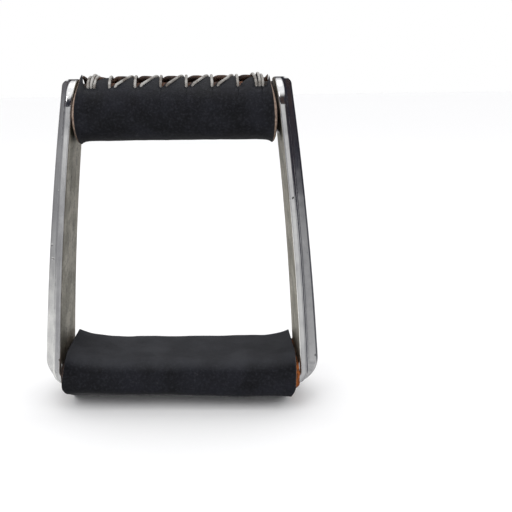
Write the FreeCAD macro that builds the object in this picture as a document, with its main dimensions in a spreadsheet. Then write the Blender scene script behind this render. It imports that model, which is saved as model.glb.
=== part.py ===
"""Western stirrup iron: a one-piece aluminium casting with leather laced round its two bars.

Millimetres.  +X runs across the stirrup, +Y from its front face to its back, +Z is up.  The
origin is under the middle of the tread, on the surface that the stirrup stands on.
"""
import FreeCAD, Part
import math
import os
import Sketcher

NEAR = 1e-4          # how close two coordinates are to count as equal
GAP = 1.0            # overshoot of a cutting outline past the metal that it cuts
CLEAR = 20.0         # how far a cutting outline reaches past the part, where nothing is in the way
TRIM_LEAN = 0.2      # the cut round a rib's top leans out more than the rib's crest does
EXACT = 0.0          # no fuzzy tolerance: with one, a corner of a plate is left uncut

SIZES = [
    # casting, seen from the front
    ("overall_height", 174.8, "top of the side plates"),
    ("inner_half_low", 64.6, "half the inside width, at the tread"),
    ("inner_half_high", 50.1, "half the inside width, at the top of the plates"),
    ("side_radius", 1900.0, "bow of each side"),
    ("plate_thickness", 4.5, "side plates and the web under the tread"),
    ("corner_radius", 8.0, "outside of the plates' bottom corners"),
    ("web_bottom", 13.0, "height of the web's underside"),
    # the rib that runs down each side and under the tread
    ("rib_rise", 9.0, "rib height at the bottom"),
    ("rib_rise_high", 4.6, "rib height at the top"),
    ("rib_crest_half", 2.6, "half the width of the rib's crest"),
    ("rib_root_half", 5.4, "half the width of the rib where its flank starts"),
    ("rib_crest_round", 2.0, "rounding of the crest"),
    ("rib_root_round", 3.0, "fillet at the foot of the rib"),
    # casting, seen from the side
    ("plate_half_low", 22.8, "half the plate's depth at the ground"),
    ("plate_half_high", 18.1, "half the plate's depth at the top, before rounding"),
    ("top_corner_radius", 14.0, "round top corners of the plate"),
    ("rib_top_round", 5.5, "round top of each rib, seen from the front"),
    # tread and top bar, bare metal
    ("tread_half_depth", 20.0, "half the depth of the tread metal"),
    ("tread_top", 22.9, "height of the tread metal"),
    ("bar_height", 158.8, "height of the top bar's middle"),
    ("bar_half_depth", 14.9, "half the top bar's depth"),
    ("bar_half_height", 12.0, "half the top bar's height"),
    ("bar_root", 4.0, "how far the top bar runs into each plate"),
    ("bar_fillet", 2.8, "fillet where the top bar meets the plates"),
    ("tread_fillet", 3.0, "fillet where the tread meets the plates"),
    ("outer_edge_round", 1.7, "polished outer edges of the plates"),
    ("inner_edge_round", 1.0, "inner edges of the plates"),
    ("void_half_width", 0.4, "shrinkage voids in one rib"),
    ("void_half_length", 1.7, "shrinkage voids in one rib"),
    ("void_depth", 2.0, "shrinkage voids in one rib"),
    ("upper_void_across", 1.2, "upper void, from the middle of the rib"),
    ("lower_void_across", 2.6, "lower void, from the middle of the rib"),
    # leather and thread
    ("cover_thickness", 2.0, "black cover leather"),
    ("wrap_thickness", 1.7, "russet leather under it"),
    ("fit_gap", 0.15, "room between one layer and the next"),
    ("cover_half_depth", 24.6, "half the depth of the tread cover"),
    ("cover_top", 27.3, "height of the tread cover"),
    ("cover_side_low", 9.4, "height where the tread cover turns under"),
    ("cover_keel_half", 5.0, "half the flat under the tread cover"),
    ("cover_round", 5.5, "rounding of the tread cover"),
    ("plate_lean", 0.125, "how fast the plates come in near the top"),
    ("sleeve_end_gap", 2.7, "top cover to side plate"),
    ("wrap_end_gap", 2.5, "russet sleeve on the top bar to side plate"),
    ("wrap_end_lean", 2.2, "how much further back the tread's russet sleeve stands at its top"),
    ("tread_end_gap", 0.6, "tread cover to side plate at its underside"),
    ("tread_end_lean", 3.4, "how much further back the tread cover stands at its top"),
    ("seam_gap", 0.6, "slit between the two edges of a cover"),
    ("thread_diameter", 1.4, "waxed lacing thread"),
    ("thread_bend", 1.1, "radius of the lace's tight bends"),
    ("thread_lift", 0.9, "how high the strands stand over the top seam"),
    ("front_strand_end", 6.6, "crown of the top cover down to a strand's end in a front hole"),
    ("front_strand_bend", 2.4, "crown down to the bend at a front hole"),
    ("front_strand_run", 6.8, "front hole to where a strand has come up to the crown"),
    ("back_strand_end", 2.4, "crown of the top cover down to a strand's end in a back hole"),
    ("back_strand_bend", 0.1, "crown down to the bend at a back hole"),
    ("back_strand_run", 5.4, "back hole to where a strand has come up to the crown"),
    ("tread_strand_end", 1.6, "how far a strand under the tread goes into its hole"),
    ("tread_strand_drop", 0.4, "how far a strand hangs below the tread cover"),
    ("hole_half_length", 1.7, "lacing holes, along the seam"),
    ("hole_half_width", 1.1, "lacing holes, across the seam"),
    ("wrap_step", 10.2, "last lacing hole to the middle of the end wraps"),
    ("wrap_half_length", 2.6, "slots for the end wraps, along the seam"),
    ("wrap_pitch", 1.6, "end wraps, one to the next"),
    ("hole_pitch", 13.0, "lacing holes, one to the next"),
    ("hole_shift", 2.4, "back holes against front holes, along the seam"),
    ("top_seam", -3.0, "top cover's seam, in front of the middle"),
    ("top_seam_half", 10.4, "seam to lacing holes, top cover"),
    ("tread_seam", 14.6, "tread cover's seam, behind the middle"),
    ("tread_seam_half", 5.4, "seam to lacing holes, tread cover"),
]
TOP_HOLES = 6        # lacing holes in each edge of the top cover, without the end wraps
TREAD_HOLES = 8      # the same, in the tread cover
WRAPS = 3            # turns of thread at each end of a lace

doc = FreeCAD.newDocument("stirrup_iron")
sheet = doc.addObject("Spreadsheet::Sheet", "sizes")
for row, (alias, value, note) in enumerate(SIZES, start=1):
    sheet.set(f"A{row}", alias)
    sheet.set(f"B{row}", str(value))
    sheet.set(f"C{row}", note)
    sheet.setAlias(f"B{row}", alias)
doc.recompute()


def size(alias):
    """The value of one driving dimension."""
    return float(getattr(sheet, alias))


def value_of(formula):
    """A formula such as '2 * sizes.bar_fillet', worked out from the sheet."""
    return float(sheet.evalExpression(formula))


# ---------------------------------------------------------------- sketches

def new_body(label):
    body = doc.addObject("PartDesign::Body", label)
    body.Label = label
    return body


def new_sketch(body, plane, name):
    """An empty sketch on one of the body's own origin planes."""
    sketch = body.newObject("Sketcher::SketchObject", name)
    origin_plane = next(f for f in body.Origin.OriginFeatures if f.Role == plane)
    sketch.AttachmentSupport = [(origin_plane, "")]
    sketch.MapMode = "FlatFace"
    return sketch


def place_point(sketch, geometry, end, across, up):
    """Hold one end of a sketch edge at a place given by two formulas."""
    for kind, formula in (("DistanceX", across), ("DistanceY", up)):
        constraint = Sketcher.Constraint(kind, -1, 1, geometry, end, value_of(formula))
        index = sketch.addConstraint(constraint)
        sketch.setExpression(f"Constraints[{index}]", formula)


def draw_outline(sketch, corners):
    """A closed outline.  Each corner is (across, up) or (across, up, radius), in formulas.

    A corner with a radius is rounded by a tangent arc.
    """
    count = len(corners)
    first = len(sketch.Geometry)
    places = [FreeCAD.Vector(value_of(c[0]), value_of(c[1]), 0) for c in corners]
    for i in range(count):
        sketch.addGeometry(Part.LineSegment(places[i], places[(i + 1) % count]), False)
    for i in range(count):
        sketch.addConstraint(
            Sketcher.Constraint("Coincident", first + (i - 1) % count, 2, first + i, 1)
        )
    holders = {}
    for i, corner in enumerate(corners):
        if len(corner) == 3:
            here, before, after = places[i], places[i - 1], places[(i + 1) % count]
            sketch.fillet(
                first + (i - 1) % count,
                first + i,
                here + (before - here) * 0.3,
                here + (after - here) * 0.3,
                value_of(corner[2]),
                True,
                True,
            )
            holders[i] = len(sketch.Geometry) - 1
    for i, corner in enumerate(corners):
        place_point(sketch, holders.get(i, first + i), 1, corner[0], corner[1])
        if i in holders:
            set_radius(sketch, holders[i] - 1, corner[2])


def set_radius(sketch, geometry, formula):
    index = sketch.addConstraint(Sketcher.Constraint("Radius", geometry, value_of(formula)))
    sketch.setExpression(f"Constraints[{index}]", formula)


# ---------------------------------------------------------------- features

def pad_both_ways(body, sketch, name, length):
    """Pad a sketch by half the length to each side of its plane."""
    pad = body.newObject("PartDesign::Pad", name)
    pad.Profile = sketch
    pad.SideType = "Symmetric"
    pad.FuzzyTolerance = EXACT
    pad.setExpression("Length", length)
    return pad


def pocket_right_through(body, sketch, name):
    """Cut everything inside a sketch, on both sides of its plane."""
    doc.recompute()
    before = body.Tip.Shape.Volume
    pocket = body.newObject("PartDesign::Pocket", name)
    pocket.Profile = sketch
    pocket.SideType = "Symmetric"
    pocket.Type = "ThroughAll"
    pocket.FuzzyTolerance = EXACT
    doc.recompute()
    if pocket.Shape.isNull() or pocket.Shape.Volume > before - NEAR:
        raise RuntimeError(f"{name} cut nothing")
    return pocket


def pocket_one_way(body, sketch, name, along_normal):
    """Cut everything in front of a sketch, or with along_normal False everything behind."""
    doc.recompute()
    before = body.Tip.Shape.Volume
    pocket = body.newObject("PartDesign::Pocket", name)
    pocket.Profile = sketch
    pocket.Type = "ThroughAll"
    pocket.Reversed = along_normal
    pocket.FuzzyTolerance = EXACT
    doc.recompute()
    if pocket.Shape.isNull() or pocket.Shape.Volume > before - NEAR:
        raise RuntimeError(f"{name} cut nothing")
    return pocket


def mirror(body, feature, plane, name):
    """Add a feature's mirror image in one of the body's origin planes."""
    mirrored = body.newObject("PartDesign::Mirrored", name)
    mirrored.Originals = [feature]
    origin_plane = next(f for f in body.Origin.OriginFeatures if f.Role == plane)
    mirrored.MirrorPlane = (origin_plane, [""])
    body.Tip = mirrored
    return mirrored


def fillet_edges(body, name, radius, wanted):
    """Round every edge of the body so far whose middle point passes the test."""
    doc.recompute()
    base = body.Tip
    names = []
    for number, edge in enumerate(base.Shape.Edges, start=1):
        middle = edge.valueAt((edge.FirstParameter + edge.LastParameter) / 2)
        if wanted(edge, middle):
            names.append(f"Edge{number}")
    fillet = body.newObject("PartDesign::Fillet", name)
    fillet.Base = (base, names)
    fillet.setExpression("Radius", radius)
    doc.recompute()
    if fillet.Shape.isNull() or not fillet.Shape.isValid():
        raise RuntimeError(f"{name} failed on {names}")
    return fillet


# ---------------------------------------------------------------- casting

def side_arc_centre(corner_centre, corner_radius, top, side_radius):
    """Centre of the arc through top that carries on smoothly from the corner's arc."""
    reach = side_radius - corner_radius
    span = top - corner_centre
    along = (reach ** 2 - side_radius ** 2 + span.Length ** 2) / (2 * span.Length)
    off = math.sqrt(reach ** 2 - along ** 2)
    unit = span.normalize()
    across = FreeCAD.Vector(-unit.y, unit.x, 0)
    return corner_centre + unit * along + across * off


def draw_half_spine(sketch):
    """The web's underside, the bottom corner and the outside of one side plate."""
    low = "sizes.web_bottom"
    corner_start = "sizes.inner_half_low + sizes.plate_thickness - sizes.corner_radius"
    top_x = "sizes.inner_half_high + sizes.plate_thickness"
    top_z = "sizes.overall_height"
    radius = size("corner_radius")
    start = FreeCAD.Vector(value_of(corner_start), size("web_bottom"), 0)
    top = FreeCAD.Vector(value_of(top_x), value_of(top_z), 0)
    corner_centre = start + FreeCAD.Vector(0, radius, 0)
    centre = side_arc_centre(corner_centre, radius, top, size("side_radius"))
    lean = (corner_centre - centre).getAngle(FreeCAD.Vector(1, 0, 0))
    if corner_centre.y < centre.y:
        lean = -lean
    end = math.atan2(top.y - centre.y, top.x - centre.x)
    upward = FreeCAD.Vector(0, 0, 1)
    corner_circle = Part.Circle(corner_centre, upward, radius)
    side_circle = Part.Circle(centre, upward, size("side_radius"))
    sketch.addGeometry(Part.LineSegment(FreeCAD.Vector(0, start.y, 0), start), False)
    sketch.addGeometry(Part.ArcOfCircle(corner_circle, -math.pi / 2, lean), False)
    sketch.addGeometry(Part.ArcOfCircle(side_circle, lean, end), False)
    place_point(sketch, 0, 1, "0", low)
    place_point(sketch, 0, 2, corner_start, low)
    sketch.addConstraint(Sketcher.Constraint("Tangent", 0, 2, 1, 1))
    set_radius(sketch, 1, "sizes.corner_radius")
    sketch.addConstraint(Sketcher.Constraint("Tangent", 1, 2, 2, 1))
    set_radius(sketch, 2, "sizes.side_radius")
    place_point(sketch, 2, 2, top_x, top_z)


def draw_plate_section(sketch, outside, direction, rise, swap):
    """Section of web or plate, with its rib: a T with sloping flanks.

    outside is the plate's outer face, measured along direction, which points out of the
    rib.  swap turns the drawing so that the rib points along the sketch's first axis.
    """
    low = outside
    high = f"{outside} - {direction} * sizes.plate_thickness"
    crest = f"{outside} + {direction} * {rise}"
    wide = f"sizes.plate_half_low + {GAP}"
    corners = [
        ("-sizes.rib_crest_half", crest, "sizes.rib_crest_round"),
        ("sizes.rib_crest_half", crest, "sizes.rib_crest_round"),
        ("sizes.rib_root_half", low, "sizes.rib_root_round"),
        (wide, low),
        (wide, high),
        (f"-({wide})", high),
        (f"-({wide})", low),
        ("-sizes.rib_root_half", low, "sizes.rib_root_round"),
    ]
    if swap:
        corners = [(c[1], c[0], *c[2:]) for c in corners]
    draw_outline(sketch, corners)


def draw_side_trim(sketch):
    """What lies outside the plates' tapering, round-topped side view."""
    top = "sizes.overall_height"
    above = f"sizes.overall_height + {CLEAR}"
    for sign in ("", "-"):
        draw_outline(sketch, [
            ("0", top),
            (f"{sign}sizes.plate_half_high", top, "sizes.top_corner_radius"),
            (f"{sign}sizes.plate_half_low", f"-{GAP}"),
            (f"{sign}2 * sizes.plate_half_low", f"-{GAP}"),
            (f"{sign}2 * sizes.plate_half_low", above),
            ("0", above),
        ])


def draw_rib_top_trim(sketch):
    """What lies outside the ribs' round top ends, seen from the front."""
    top = "sizes.overall_height"
    above = f"sizes.overall_height + {CLEAR}"
    below = f"sizes.overall_height - {CLEAR}"
    crest = "sizes.inner_half_high + sizes.plate_thickness + sizes.rib_rise_high"
    for sign in ("", "-"):
        draw_outline(sketch, [
            (f"{sign}sizes.inner_half_high", top),
            (f"{sign}({crest})", top, "sizes.rib_top_round"),
            (f"{sign}({crest} + {TRIM_LEAN * CLEAR})", below),
            (f"{sign}({crest} + {CLEAR})", below),
            (f"{sign}({crest} + {CLEAR})", above),
            (f"{sign}sizes.inner_half_high", above),
        ])


def draw_tread_trim(sketch):
    """What lies in front of and behind the tread, between the plates."""
    reach = "sizes.inner_half_low - 0.4"
    for sign in ("", "-"):
        draw_outline(sketch, [
            (f"-({reach})", f"{sign}sizes.tread_half_depth"),
            (reach, f"{sign}sizes.tread_half_depth"),
            (reach, f"{sign}2 * sizes.tread_half_depth"),
            (f"-({reach})", f"{sign}2 * sizes.tread_half_depth"),
        ])


def draw_oval(sketch, across, up, half_wide, half_high):
    """A full ellipse with its axes level and upright; the first half-size is the longer."""
    centre = FreeCAD.Vector(value_of(across), value_of(up), 0)
    wide = FreeCAD.Vector(value_of(half_wide), 0, 0)
    high = FreeCAD.Vector(0, value_of(half_high), 0)
    number = sketch.addGeometry(Part.Ellipse(centre + wide, centre + high, centre), False)
    sketch.exposeInternalGeometry(number)
    place_point(sketch, number, 3, across, up)
    long_axis = number + 1
    short_axis = number + 2
    place_point(sketch, long_axis, 1, f"{across} + {half_wide}", up)
    index = sketch.addConstraint(
        Sketcher.Constraint("Distance", short_axis, 2 * value_of(half_high))
    )
    sketch.setExpression(f"Constraints[{index}]", f"2 * {half_high}")


def draw_tread_block(sketch):
    """Front view of the metal above the web, with a fillet up to each plate."""
    low = "sizes.web_bottom + 0.9 * sizes.plate_thickness"
    ledge = "sizes.tread_top + 1.2 * sizes.tread_fillet"
    inside = "(sizes.inner_half_low - 0.3)"
    outside = "(sizes.inner_half_low + 1.5)"
    draw_outline(sketch, [
        (f"-{outside}", low),
        (outside, low),
        (outside, ledge),
        (inside, ledge),
        (inside, "sizes.tread_top", "sizes.tread_fillet"),
        (f"-{inside}", "sizes.tread_top", "sizes.tread_fillet"),
        (f"-{inside}", ledge),
        (f"-{outside}", ledge),
    ])


def is_bar_end(edge, at):
    """The ovals where the top bar meets the plates."""
    box = edge.BoundBox
    return (
        abs(at.x) < size("inner_half_low")
        and abs(at.y) > size("bar_half_depth") - GAP
        and abs(at.z - size("bar_height")) < GAP
        and box.ZLength > 2 * size("bar_half_height") - GAP
    )


def is_long_plate_edge(edge, at):
    """The edges that run up the front and back of the side plates."""
    return (
        edge.Length > size("overall_height") / 2
        and abs(at.x) > size("inner_half_high")
        and abs(at.y) > size("rib_root_half") + size("rib_root_round")
    )


def middle_of_plate():
    """How far out the middle of a plate's thickness is, half-way up."""
    mean = (size("inner_half_low") + size("inner_half_high") + size("plate_thickness")) / 2
    return mean + 2 * GAP


def is_outer_edge(edge, at):
    return is_long_plate_edge(edge, at) and abs(at.x) > middle_of_plate()


def is_inner_edge(edge, at):
    return is_long_plate_edge(edge, at) and abs(at.x) < middle_of_plate()


def cut_voids(body):
    """Two short shrinkage voids in one rib, beside the bars, where the metal is thickest."""
    spots = [
        ("upper_void", "sizes.bar_height + sizes.void_half_length", "sizes.upper_void_across",
         "sizes.inner_half_high + sizes.plate_thickness + sizes.rib_rise_high"),
        ("lower_void", "sizes.tread_top", "sizes.lower_void_across",
         "sizes.inner_half_low + sizes.plate_thickness + sizes.rib_rise - sizes.void_depth / 2"),
    ]
    for name, height, across, surface in spots:
        sketch = new_sketch(body, "YZ_Plane", name + "_outline")
        sketch.setExpression("AttachmentOffset.Base.z", f"{surface} - sizes.void_depth / 2")
        draw_outline(sketch, [
            (f"{across} - sizes.void_half_width", f"{height} - sizes.void_half_length"),
            (f"{across} + sizes.void_half_width", f"{height} - sizes.void_half_length"),
            (f"{across} + sizes.void_half_width", f"{height} + sizes.void_half_length"),
            (f"{across} - sizes.void_half_width", f"{height} + sizes.void_half_length"),
        ])
        pocket_one_way(body, sketch, name, True)


def make_casting():
    """One aluminium casting: side plates, web, rib, tread and top bar."""
    body = new_body("frame_casting")
    spine = new_sketch(body, "XZ_Plane", "side_line")
    draw_half_spine(spine)
    low_section = new_sketch(body, "YZ_Plane", "web_section")
    draw_plate_section(low_section, "sizes.web_bottom", "-1", "sizes.rib_rise", False)
    high_section = new_sketch(body, "XY_Plane", "plate_top_section")
    high_section.setExpression("AttachmentOffset.Base.z", "sizes.overall_height")
    outside = "sizes.inner_half_high + sizes.plate_thickness"
    draw_plate_section(high_section, outside, "1", "sizes.rib_rise_high", True)
    doc.recompute()
    half = body.newObject("PartDesign::AdditivePipe", "half_ring")
    half.Profile = low_section
    half.Spine = (spine, [])
    half.Transformation = "Multisection"
    half.Sections = [(high_section, [""])]
    doc.recompute()
    mirror(body, half, "YZ_Plane", "whole_ring")

    tread_trim = new_sketch(body, "XY_Plane", "tread_trim")
    draw_tread_trim(tread_trim)
    doc.recompute()
    narrow = body.newObject("PartDesign::Pocket", "narrow_tread")
    narrow.Profile = tread_trim
    narrow.Reversed = True
    narrow.setExpression("Length", "sizes.tread_top")
    narrow.FuzzyTolerance = EXACT
    doc.recompute()

    side_trim = new_sketch(body, "YZ_Plane", "side_trim")
    draw_side_trim(side_trim)
    pocket_right_through(body, side_trim, "side_view")

    bar_section = new_sketch(body, "YZ_Plane", "bar_section")
    draw_oval(bar_section, "0", "sizes.bar_height", "sizes.bar_half_depth", "sizes.bar_half_height")
    pad_both_ways(body, bar_section, "top_bar", "2 * (sizes.inner_half_high + sizes.bar_root)")
    tread_front = new_sketch(body, "XZ_Plane", "tread_front")
    draw_tread_block(tread_front)
    pad_both_ways(body, tread_front, "tread", "2 * sizes.tread_half_depth")
    doc.recompute()

    fillet_edges(body, "bar_ends", "sizes.bar_fillet", is_bar_end)
    fillet_edges(body, "outer_edges", "sizes.outer_edge_round", is_outer_edge)
    fillet_edges(body, "inner_edges", "sizes.inner_edge_round", is_inner_edge)
    rib_top_trim = new_sketch(body, "XZ_Plane", "rib_top_trim")
    draw_rib_top_trim(rib_top_trim)
    pocket_right_through(body, rib_top_trim, "rib_tops")
    cut_voids(body)
    return body


# ---------------------------------------------------------------- leather

def add_end_trim(body, low_gap, high_gap, lean, low, high, foot):
    """Slope both ends of a sleeve: they stand low_gap off the plate at the bottom."""
    sketch = new_sketch(body, "XZ_Plane", "end_trim")
    far = "2 * sizes.inner_half_low"
    at_low = f"({foot} + {lean} * ({high} - ({low})) - {low_gap})"
    at_high = f"({foot} - {high_gap})"
    for sign in ("", "-"):
        draw_outline(sketch, [
            (f"{sign}{at_low}", low),
            (f"{sign}{far}", low),
            (f"{sign}{far}", high),
            (f"{sign}{at_high}", high),
        ])
    return pocket_right_through(body, sketch, "ends")


def draw_tread_ring(sketch, inset):
    """Outline round the tread at some depth below the cover's surface.

    Flat on top, and a shallow V underneath that comes down to the rib.
    """
    half = "sizes.cover_half_depth"
    slope = f"atan(sizes.cover_side_low / ({half} - sizes.cover_keel_half))"
    keel = f"(sizes.cover_keel_half - {inset} * tan({slope} / 2))"
    side = f"({half} - {inset})"
    side_low = f"sizes.cover_side_low + {inset} * tan(45 deg - {slope} / 2)"
    top = f"sizes.cover_top - {inset}"
    rounding = f"sizes.cover_round - {inset}"
    draw_outline(sketch, [
        (f"-{keel}", f"{inset}"),
        (keel, f"{inset}"),
        (side, side_low, rounding),
        (side, top, rounding),
        (f"-{side}", top, rounding),
        (f"-{side}", side_low, rounding),
    ])


def draw_bar_ring(sketch, outset):
    """Oval round the top bar, outset from its metal."""
    draw_oval(
        sketch,
        "0",
        "sizes.bar_height",
        f"(sizes.bar_half_depth + {outset})",
        f"(sizes.bar_half_height + {outset})",
    )


def draw_slot(sketch, middle, across, half_length, half_width):
    draw_outline(sketch, [
        (f"({middle}) - {half_length}", f"({across}) - {half_width}"),
        (f"({middle}) + {half_length}", f"({across}) - {half_width}"),
        (f"({middle}) + {half_length}", f"({across}) + {half_width}"),
        (f"({middle}) - {half_length}", f"({across}) + {half_width}"),
    ])


def hole_steps(count):
    """Places of the front holes along the seam, in hole pitches."""
    return [k - (count - 1) / 2 for k in range(count)]


def add_lacing_slots(body, seam, seam_half, count, height, upward):
    """Slit a sleeve along its seam, and cut the lacing holes beside the slit."""
    sketch = new_sketch(body, "XY_Plane", "lacing_slots")
    sketch.setExpression("AttachmentOffset.Base.z", height)
    draw_slot(sketch, "0", seam, "2 * sizes.inner_half_low", "sizes.seam_gap / 2")
    for side, shift in (("-", "0"), ("+", "sizes.hole_shift")):
        row = f"{seam} {side} {seam_half}"
        for step in hole_steps(count):
            middle = f"({step}) * sizes.hole_pitch - {shift}"
            draw_slot(sketch, middle, row, "sizes.hole_half_length", "sizes.hole_half_width")
        last = hole_steps(count)[-1]
        for sign in ("", "-"):
            middle = f"{sign}({last} * sizes.hole_pitch + sizes.wrap_step)"
            draw_slot(sketch, middle, row, "sizes.wrap_half_length", "sizes.hole_half_width")
    return pocket_one_way(body, sketch, "lacing", upward)


def make_sleeve(label, draw_ring, inner, outer):
    """A plain sleeve of leather between two rings."""
    body = new_body(label)
    sketch = new_sketch(body, "YZ_Plane", "ring")
    draw_ring(sketch, inner)
    draw_ring(sketch, outer)
    pad_both_ways(body, sketch, "sleeve", "2 * sizes.inner_half_low")
    doc.recompute()
    return body


def trim_to_plates_at_top(body, gap):
    low = "sizes.bar_height - 2 * sizes.bar_half_height"
    high = f"sizes.overall_height + {GAP}"
    add_end_trim(body, gap, gap, "sizes.plate_lean", low, high, "sizes.inner_half_high")


def trim_to_plates_at_tread(body, gap, lean):
    low = f"-{GAP}"
    high = f"sizes.cover_top + {GAP}"
    foot = f"(sizes.inner_half_low - ({lean}))"
    add_end_trim(body, gap, gap, f"({lean} / sizes.cover_top)", low, high, foot)


def make_leather():
    """Two russet sleeves next to the metal, and two black laced covers over them."""
    under = "(sizes.cover_thickness + sizes.fit_gap)"
    wrap_out = "(sizes.fit_gap + sizes.wrap_thickness)"
    cover_in = "(2 * sizes.fit_gap + sizes.wrap_thickness)"
    cover_out = "(2 * sizes.fit_gap + sizes.wrap_thickness + sizes.cover_thickness)"

    bar_wrap = make_sleeve("top_bar_underwrap", draw_bar_ring, "sizes.fit_gap", wrap_out)
    trim_to_plates_at_top(bar_wrap, "sizes.wrap_end_gap")
    bar_cover = make_sleeve("top_bar_cover", draw_bar_ring, cover_in, cover_out)
    trim_to_plates_at_top(bar_cover, "sizes.sleeve_end_gap")
    add_lacing_slots(
        bar_cover, "sizes.top_seam", "sizes.top_seam_half", TOP_HOLES, "sizes.bar_height", True
    )

    tread_wrap = make_sleeve(
        "tread_underwrap", draw_tread_ring, f"({under} + sizes.wrap_thickness)", under
    )
    trim_to_plates_at_tread(tread_wrap, "sizes.tread_end_gap", "sizes.wrap_end_lean")
    tread_cover = make_sleeve("tread_cover", draw_tread_ring, "sizes.cover_thickness", "0")
    trim_to_plates_at_tread(tread_cover, "sizes.tread_end_gap", "sizes.tread_end_lean")
    add_lacing_slots(
        tread_cover,
        "sizes.tread_seam",
        "sizes.tread_seam_half",
        TREAD_HOLES,
        "sizes.cover_top / 2",
        False,
    )
    return [bar_wrap, bar_cover, tread_wrap, tread_cover]


# ---------------------------------------------------------------- lacing

def thread_along(points, bend):
    """A thread through the points: straight runs joined by tangent arcs."""
    runs = []
    start = points[0]
    for i in range(1, len(points) - 1):
        here = points[i]
        back = (points[i - 1] - here).normalize()
        ahead = (points[i + 1] - here).normalize()
        half_turn = (math.pi - back.getAngle(ahead)) / 2
        reach = bend * math.tan(half_turn)
        middle = (back + ahead).normalize() * (bend / math.cos(half_turn) - bend)
        runs.append(Part.LineSegment(start, here + back * reach).toShape())
        arc = Part.Arc(here + back * reach, here + middle, here + ahead * reach)
        runs.append(arc.toShape())
        start = here + ahead * reach
    runs.append(Part.LineSegment(start, points[-1]).toShape())
    path = Part.Wire(runs)
    radius = size("thread_diameter") / 2
    circle = Part.Circle(points[0], points[1] - points[0], radius)
    thread = path.makePipeShell([Part.Wire([circle.toShape()])], True, False)
    solid = Part.Solid(thread) if thread.ShapeType == "Shell" else thread
    expected = math.pi * radius ** 2 * path.Length
    if abs(solid.Volume - expected) > 0.02 * expected:
        raise RuntimeError(f"thread volume {solid.Volume:.2f}, expected {expected:.2f}")
    return solid


def top_stitch(front, back):
    """One strand over the top cover's seam, down into a front hole and a back hole."""
    low = size("top_seam") - size("top_seam_half")
    high = size("top_seam") + size("top_seam_half")
    crown = size("bar_height") + size("bar_half_height") + thickness_over_metal()
    over = crown + size("thread_diameter") / 2 + size("thread_lift")
    span = high - low
    front_rise = size("front_strand_run")
    back_rise = size("back_strand_run")
    profile = [
        (low, crown - size("front_strand_end"), 0.0),
        (low, crown - size("front_strand_bend"), 0.0),
        (low + front_rise, over, front_rise / span),
        (high - back_rise, over, 1 - back_rise / span),
        (high, crown - size("back_strand_bend"), 1.0),
        (high, crown - size("back_strand_end"), 1.0),
    ]
    return stitch(profile, front, back)


def tread_stitch(front, back):
    """One strand under the tread cover's seam, up into a front hole and a back hole."""
    low = size("tread_seam") - size("tread_seam_half")
    high = size("tread_seam") + size("tread_seam_half")
    slope = size("cover_side_low") / (size("cover_half_depth") - size("cover_keel_half"))
    at_low = slope * (low - size("cover_keel_half"))
    at_high = slope * (high - size("cover_keel_half"))
    drop = size("thread_diameter") / 2 + size("tread_strand_drop")
    depth = size("tread_strand_end")
    profile = [
        (low, at_low + depth, 0.0),
        (low, at_low - drop, 0.0),
        (high, at_high - drop, 1.0),
        (high, at_high + depth, 1.0),
    ]
    return stitch(profile, front, back)


def thickness_over_metal():
    return 2 * size("fit_gap") + size("wrap_thickness") + size("cover_thickness")


def stitch(profile, front, back):
    """A strand whose place along the seam goes from front to back as it crosses."""
    points = [
        FreeCAD.Vector(front + (back - front) * share, across, up)
        for across, up, share in profile
    ]
    return thread_along(points, size("thread_bend"))


def add_thread(label, strands):
    piece = doc.addObject("Part::Feature", label)
    piece.Label = label
    piece.Shape = Part.makeCompound(strands)
    piece.Placement = FreeCAD.Placement()
    return piece


def make_lace(prefix, count, make_stitch):
    """One waxed thread, as its start wraps, straight and diagonal strands, and end wraps."""
    beside = size("thread_diameter") / 2 + size("fit_gap") / 2
    shift = size("hole_shift")
    places = [step * size("hole_pitch") for step in hole_steps(count)]
    straight = [make_stitch(x - beside, x - shift + beside) for x in places]
    diagonal = []
    for here, after in zip(places, places[1:]):
        diagonal.append(make_stitch(here + beside, after - shift - beside))
    wraps = {}
    for sign in (-1, 1):
        middle = sign * (places[-1] + size("wrap_step"))
        steps = [(k - (WRAPS - 1) / 2) * size("wrap_pitch") for k in range(WRAPS)]
        wraps[sign] = [make_stitch(middle + step, middle + step) for step in steps]
    return [
        add_thread(prefix + "_lace_start_wraps", wraps[-1]),
        add_thread(prefix + "_lace_straight_strands", straight),
        add_thread(prefix + "_lace_diagonal_strands", diagonal),
        add_thread(prefix + "_lace_end_wraps", wraps[1]),
    ]


# ---------------------------------------------------------------- check and write

def check_document(pieces):
    doc.recompute()
    for item in doc.Objects:
        if "Invalid" in item.State or "Error" in item.State:
            raise RuntimeError(f"{item.Label} failed: {item.State}")
    for piece in pieces:
        if piece.Shape.isNull() or not piece.Shape.isValid() or not piece.Shape.Solids:
            raise RuntimeError(f"{piece.Label} has no valid solid")


def write_pieces(pieces):
    os.makedirs("parts", exist_ok=True)
    for piece in pieces:
        piece.Shape.exportStep(f"parts/{piece.Label}.step")
        box = piece.Shape.BoundBox
        print(
            f"{piece.Label}: {len(piece.Shape.Solids)} solids, {piece.Shape.Volume:.0f} mm3,",
            f"x {box.XMin:.1f}..{box.XMax:.1f}, y {box.YMin:.1f}..{box.YMax:.1f},",
            f"z {box.ZMin:.1f}..{box.ZMax:.1f}",
        )


pieces = [make_casting()]
pieces += make_leather()
pieces += make_lace("top", TOP_HOLES, top_stitch)
pieces += make_lace("tread", TREAD_HOLES, tread_stitch)
check_document(pieces)
write_pieces(pieces)
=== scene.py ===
"""Looks of the western stirrup: laced leather covers, linings, waxed laces, metal and studio.

Lengths are worked out in millimetres and handed to Blender in metres.  +X runs along the two
bars, -Y is the front face and +Z is up.
"""

import math

import bmesh
import bpy
import numpy as np
from mathutils import Matrix, Vector


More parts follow.
